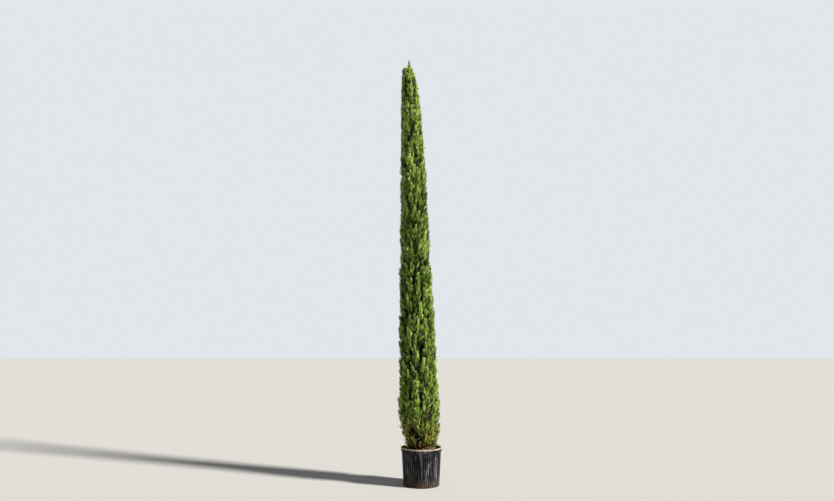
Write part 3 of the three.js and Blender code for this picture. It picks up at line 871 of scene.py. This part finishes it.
def finish_for(rng, light, height):
    """Which finish a spray has: light is about 1 where the sun reaches it and 0 deep inside."""
    if height < YELLOW_TOP and rng.random() < 0.7 * (YELLOW_TOP - height) / 0.3:
        return int(rng.choice([OLIVE, STRAW, NEW_GROWTH_AND_HIGHLIGHT, OLIVE]))
    if rng.random() < 0.04:
        return GREY
    if height < STRAW_TOP and rng.random() < 0.01:
        return STRAW
    light += rng.normal(0, 0.27)
    for bound, finish in ((0.9, NEW_GROWTH_AND_HIGHLIGHT), (0.66, SUNNY), (0.45, MID), (0.22, DEEP)):
        if light > bound:
            return finish
    return DARK


def column_tone(point):
    """How much lighter or darker the foliage is in upright columns round the crown."""
    x, y = trunk_centre(point[2])
    return 0.3 * ring_noise(math.atan2(point[1] - y, point[0] - x), 3.5, 1.3 * point[2])


def dress_flame(sprays, rng, root, tip, count, depth, limit, spread=1.0):
    """Sprays round the twig of one flame, steeper and closer to it towards its tip."""
    axis = tip - root
    along = unit(axis)
    last = 1 - 0.8 * SPRAY_SIZE / np.linalg.norm(axis)
    across, second = (a[0] for a in frames_along(along[None]))
    start_turn = rng.uniform(0, 2 * math.pi)
    patch = 0.2 * noise.noise(Vector(root) * 5)
    # Painted light and shade: the deeper a flame lies in the crown, the darker its sprays' finishes; the
    # leader's flames get lighter ones.
    tone = 0.72 - 0.6 * depth + patch + column_tone(root) + rng.normal(0, 0.08)
    for i in range(count):
        t = (i + rng.uniform(0, 0.6)) / count * last
        turn = start_turn + i * GOLDEN_ANGLE
        lean = spread * mix(0.42, 0.12, t) * rng.uniform(0.5, 1.4)
        out = math.cos(turn) * across + math.sin(turn) * second
        off = rng.uniform(0.1, 1.0)
        base = root + axis * t + out * off * spread * mix(FLAME_RADIUS, 0.002, t)
        reach = SPRAY_SIZE * mix(1.15, 0.8, t) * rng.uniform(0.75, 1.25)
        # Sprays farther out from the twig get lighter finishes, which is painted light; so do those
        # towards the flame's tip, partly as real new growth.
        finish = finish_for(rng, tone + 0.3 * (t - 0.5) + 0.25 * (off - 0.5), base[2])
        direction = along * math.cos(lean) + out * math.sin(lean)
        sprays.add(base, direction, reach, rng.uniform(0, FULL_ROLL), finish, limit)
    finish = finish_for(rng, tone + 0.25, root[2])
    roll = rng.uniform(0, FULL_ROLL)
    sprays.add(tip - along * SPRAY_SIZE, along, SPRAY_SIZE * 1.02, roll, finish, limit)


def stray_shoots(mass, sprays, twigs, rng):
    """A few loose shoots that stand out of the crown's surface, each a twig with small sprays."""
    for _ in range(STRAY_SHOOTS):
        z = mix(mass.foot[1], mass.top[1], rng.uniform(0.15, 0.85))
        middle, half = mass.span(z)
        angle = middle + rng.uniform(-0.8, 0.8) * half
        root = around(angle, 0.86 * mass.radius(z), z)
        direction = leaning(angle, rng.uniform(0.15, 0.5))
        tip = root + direction * rng.uniform(0.03, 0.06)
        add_twigs(twigs, [root, tip], [0.0015])
        for share in (0.2, 0.5, 0.8, 1.0):
            sprays.add(root + (tip - root) * share, direction + rng.normal(0, 0.25, 3) * (1.2 - share),
                       rng.uniform(0.035, 0.045), rng.uniform(0, FULL_ROLL),
                       finish_for(rng, 0.75, z), STRAY_LIMIT)


def hem_shoots(mass, sprays, twigs, shaded, rng):
    """Ragged yellow and brown shoots under a lowest mass, nearly down to the pot's lip."""
    girth = mass.radius(mass.foot[1] + 0.15)
    middle, half = mass.span(mass.foot[1] + 0.2)
    for _ in range(HEM_SHOOTS):
        z = max(HEM_FLOOR, mass.foot[1] + rng.uniform(-0.09, 0.14))
        angle = middle + rng.uniform(-1.2, 1.2) * half
        root = around(angle, rng.uniform(0.25, 0.88) * girth, z)
        direction = leaning(angle + rng.normal(0, 0.5), rng.uniform(0.2, 1.5))
        for _ in range(4):
            sprays.add(root + direction * rng.uniform(-0.03, 0.01), direction + rng.normal(0, 0.3, 3),
                       rng.uniform(0.04, 0.075), rng.uniform(0, FULL_ROLL),
                       int(rng.choice([NEW_GROWTH_AND_HIGHLIGHT, OLIVE, STRAW, OLIVE, SUNNY])), 1.0)
        inside = around(angle, 0.03, z - rng.uniform(0.0, 0.03))
        add_twigs(twigs, [inside, root, root + direction * 0.03], [0.0028, 0.002])
    for _ in range(HEM_SPINDLES):
        z = max(HEM_FLOOR, mass.foot[1] + rng.uniform(-0.07, 0.1))
        angle = middle + rng.uniform(-1.1, 1.1) * half
        r = rng.uniform(0.2, 0.75) * girth
        tip = around(angle, r + rng.uniform(-0.02, 0.05), z + rng.uniform(0.06, 0.12))
        shaded.append((around(angle, r, z), tip))


def inner_flames(mass, rng):
    """Shorter flames between the outer ones, nearer to the core."""
    area = (mass.top[1] - mass.foot[1]) * mass.radius((mass.foot[1] + mass.top[1]) / 2)
    flames = []
    for _ in range(int(round(INNER_FLAMES * area))):
        z = mix(mass.foot[1], mass.top[1], rng.uniform(0.03, 0.93))
        z_tip = min(z + rng.uniform(0.12, 0.2), mass.top[1] - 0.004)
        side = rng.uniform(-0.95, 0.95)
        low, high = mass.span(z), mass.span(z_tip)
        root = around(low[0] + side * low[1] * 0.9, 0.68 * mass.radius(z), z)
        reach = rng.uniform(0.8, 0.93) * mass.radius(z_tip)
        tip = around(high[0] + side * high[1] * 0.85, reach, z_tip)
        if z_tip - z > 0.06:
            flames.append((root, tip))
    corner, height = mass.left
    for _ in range(CORNER_FLAMES):
        z = height + rng.uniform(-0.24, 0.07)
        angle = corner + rng.normal(0, 0.15)
        radius = float(crown_radius(z + 0.15))
        tip = around(angle, rng.uniform(0.86, 0.95) * radius, z + 0.15)
        flames.append((around(angle, 0.7 * radius, z), tip))
    return flames


def add_twigs(twigs, points, radii):
    """A bent twig as spindles end to end, each a little into the next."""
    for a, b, r in zip(points, points[1:], radii):
        twigs.append((a - (b - a) * 0.12, b + (b - a) * 0.12, r))


def stem_line(mass):
    """The stem of a mass: where it leaves the trunk and where it ends in the core."""
    z0, z1 = (mix(mass.foot[1], mass.top[1], share) for share in STEM_ENDS)
    angle = mass.span(z1)[0]
    out = float(crown_radius(z1)) * mix(CORE_INNER, CORE_OUTER, 0.4)
    return around(angle, 0.0, z0), around(angle, out, z1)


def grow_stem(mass, twigs):
    """The stem of a mass, from the trunk outwards, as (foot, head, radius at its foot)."""
    foot, head = stem_line(mass)
    thick = STEM_SHARE * trunk_radius(foot[2])
    bend = foot + (head - foot) * 0.5 + np.array([0, 0, -0.02])
    add_twigs(twigs, [foot, bend, head], [thick, thick * 0.8])
    return foot, head, thick


def grow_twigs(mass, stem, flames, twigs, rng):
    """The limb that carries on from the stem of a mass, and a twig into each flame."""
    foot, head, thick = stem
    z = mass.top[1] - 0.1
    top = around(mass.span(z)[0], 0.6 * mass.radius(z), z)
    add_twigs(twigs, [head, head + (top - head) * 0.5, top], [thick * 0.6, thick * 0.35])
    for root, tip in flames:
        share = np.clip((root[2] - 0.12 - head[2]) / max(0.1, top[2] - head[2]), 0, 1)
        source = head + (top - head) * share if share > 0 else foot + (head - foot) * rng.uniform(0.5, 1)
        if source[2] > root[2]:
            source = around(math.atan2(root[1], root[0]), 0.01, max(0.5, root[2] - 0.15))
        elbow = source + (root - source) * 0.6 + np.array([0, 0, -0.01])
        end = root + (tip - root) * 0.55
        add_twigs(twigs, [source, elbow, root, end], [0.003, 0.0024, 0.0018])


def fill_inside(mass, shaded, rng):
    """Dark spindles inside a mass and at its left corner, which stand for the shaded inner foliage."""
    ceiling = mass.top[1] + (SPINDLES_OVER if mass.row < ROWS else -SPINDLES_UNDER)
    tall, deep = mass.top[1] - mass.foot[1], mass.radius(mass.foot[1] + 0.3)
    for _ in range(int(SHADED_SPINDLES * tall * deep)):
        z = mix(mass.foot[1], min(ceiling, mass.top[1]), rng.uniform(0.02, 0.98))
        middle, half = mass.span(z)
        angle = middle + rng.uniform(-1, 1) * half
        r = (0.72 - 0.5 * rng.uniform(0, 1) ** 2) * mass.radius(z)
        lean = rng.uniform(0.0, 0.035)
        z_tip = min(z + rng.uniform(0.08, 0.15), ceiling)
        shaded.append((around(angle, r, z), around(angle + rng.normal(0, 0.12), r + lean, z_tip)))
    corner, height = mass.left
    for _ in range(CORNER_SPINDLES):
        z = max(HEM_FLOOR + 0.05, height + rng.uniform(-0.25, 0.15))
        angle = corner + rng.normal(0, 0.3)
        r = rng.uniform(0.15, 0.72) * float(crown_radius(z))
        z_tip = z + rng.uniform(0.1, 0.16)
        shaded.append((around(angle, r, z), around(angle + rng.normal(0, 0.12), r + 0.01, z_tip)))


def dress_mass(mass, sprays, twigs, shaded):
    """One mass: its flames, loose shoots, twigs and shaded inside."""
    rng = np.random.default_rng(100 + mass.number)
    outer, inner = flames_of(mass), inner_flames(mass, rng)
    stem = grow_stem(mass, twigs)
    for root, tip in outer:
        dress_flame(sprays, rng, root, tip, SPRAYS_ON_OUTER, 0.0, mass.bulge)
    for root, tip in inner:
        dress_flame(sprays, rng, root, tip, SPRAYS_ON_INNER, 0.4, mass.bulge * 0.96)
    stray_shoots(mass, sprays, twigs, rng)
    if mass.row == 0:
        hem_shoots(mass, sprays, twigs, shaded, rng)
    grow_twigs(mass, stem, outer + inner, twigs, rng)
    fill_inside(mass, shaded, rng)


def dress_leader(sprays, twigs):
    """The top: a leading shoot with flames all round it, two at its tip and two at its shoulder."""
    rng = np.random.default_rng(77)
    low, high = TRUNK_TOP - 0.06, 4.965  # heights of the lowest and the highest flame's root
    bends = ((0, TRUNK_TOP - 0.05), (0, 4.93), (0.012, 5.02), (0.026, 5.09))
    add_twigs(twigs, [around(0, out, z) for out, z in bends], [0.0042, 0.0032, 0.0022])
    for i in range(LEADER_FLAMES):
        z = mix(low, high, i / (LEADER_FLAMES - 1))
        z_tip = min(z + LEADER_FLAME_LENGTH, TREE_TOP - mix(*LEADER_TOPS, chance(i + 800)))
        root = around(i * GOLDEN_ANGLE, 0.004, z)
        tip = around(i * GOLDEN_ANGLE, float(crown_radius(z_tip)) * 0.9, z_tip)
        dress_flame(sprays, rng, root, tip, SPRAYS_ON_LEADER, -0.5, 1.05)
    for root, tip in (
        (around(0, 0.004, 4.95), around(0, 0.030, TREE_TOP)),
        (around(0.4, 0.010, 4.94), around(0.6, 0.034, TREE_TOP - 0.035)),
        (around(math.pi, 0.004, 4.92), around(math.pi, 0.048, TREE_TOP - 0.112)),
        (around(2.4, 0.010, 4.92), around(2.6, 0.054, TREE_TOP - 0.128)),
    ):
        dress_flame(sprays, rng, root, tip, SPRAYS_ON_LEADER, -0.5, 1.6, 0.7)


def join_sprays(name, sprays, nodes):
    """All sprays of a row as one piece, in place of that row's nodes."""
    vertices, triangles, finish = sprays.arrays()
    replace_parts(joined(name, vertices, triangles, GREENS, finish), *nodes)


def make_foliage(masses):
    """All foliage and twigs, joined row by row and each kind apart."""
    twigs, shaded = [], []
    for j in range(ROWS + 1):
        sprays = Sprays()
        row = [m for m in masses if m.row == j]
        for mass in row:
            dress_mass(mass, sprays, twigs, shaded)
        join_sprays("skirt_sprays" if j == 0 else f"row{j}_sprays", sprays, [m.node for m in row])
    sprays = Sprays()
    dress_leader(sprays, twigs)
    join_sprays("leader_sprays", sprays, ["leader_foliage"])
    base, tip = (np.array(p) for p in zip(*shaded))
    rng = np.random.default_rng(5)
    vertices, triangles = spindles(base, tip, rng.uniform(*SPINDLE_RADIUS, len(base)))
    finish = np.repeat(rng.choice(len(SHADED), len(base), p=[0.6, 0.2, 0.2]), 6)
    joined("shaded_inner_sprays", kept_in(vertices, 0.85), triangles, SHADED, finish)
    base, tip, radius = (np.array(p) for p in zip(*twigs))
    vertices, triangles = spindles(base, tip, radius, 0.45, 5)
    finish = np.repeat(rng.choice(len(YOUNG_BARK), len(base), p=[0.7, 0.3]), 10)
    joined("foliage_twigs", vertices, triangles, YOUNG_BARK, finish)


def make_floor():
    """A plain pale floor."""
    bm = bmesh.new()
    bmesh.ops.create_grid(bm, x_segments=1, y_segments=1, size=FLOOR_SIZE)
    mesh = bpy.data.meshes.new("floor")
    bm.to_mesh(mesh)
    bm.free()
    floor = bpy.data.objects.new("floor", mesh)
    floor_paint, _, shader = start("pale_floor", 0.9, 0.0)
    shader.inputs["Base Color"].default_value = (0.46, 0.455, 0.445, 1)
    mesh.materials.append(floor_paint)
    scene.collection.objects.link(floor)


def make_studio():
    """The camera, the key light, and a pale sky that lights softly."""
    camera = bpy.data.objects.new("camera", bpy.data.cameras.new("camera"))
    camera.data.lens = CAMERA_LENS
    camera.data.sensor_width = 36
    camera.data.sensor_fit = "HORIZONTAL"
    camera.data.clip_end = 200
    camera.location = CAMERA_PLACE
    camera.rotation_euler = (math.radians(CAMERA_TILT), 0, 0)
    scene.collection.objects.link(camera)
    scene.camera = camera

    key = bpy.data.objects.new("key_light", bpy.data.lights.new("key_light", "SUN"))
    key.data.energy = KEY_ENERGY
    key.data.angle = math.radians(KEY_ANGLE)
    key.data.color = (1.0, 0.97, 0.91)
    key.rotation_euler = Vector(KEY_DIRECTION).to_track_quat("-Z", "Y").to_euler()
    scene.collection.objects.link(key)

    world = bpy.data.worlds.new("studio")
    world.use_nodes = True
    tree = world.node_tree
    fill = tree.nodes["Background"]
    fill.inputs["Color"].default_value = (0.95, 0.98, 1.0, 1)
    fill.inputs["Strength"].default_value = FILL_STRENGTH
    sky = {"Color": (0.84, 0.88, 0.92, 1), "Strength": BACKDROP_STRENGTH}
    backdrop = node(tree, "Background", sky)
    seen = node(tree, "LightPath").outputs["Is Camera Ray"]
    both = node(tree, "MixShader", {0: seen, 1: fill.outputs[0], 2: backdrop.outputs[0]})
    tree.links.new(both.outputs[0], tree.nodes["World Output"].inputs["Surface"])
    scene.world = world
    scene.view_settings.view_transform = "Standard"


masses = [Mass(j, k) for j in range(ROWS + 1) for k in range(SECTORS)]
make_studio()
make_floor()
make_pot()
make_soil()
make_litter()
make_trunk()
make_boughs(masses)
make_foliage(masses)
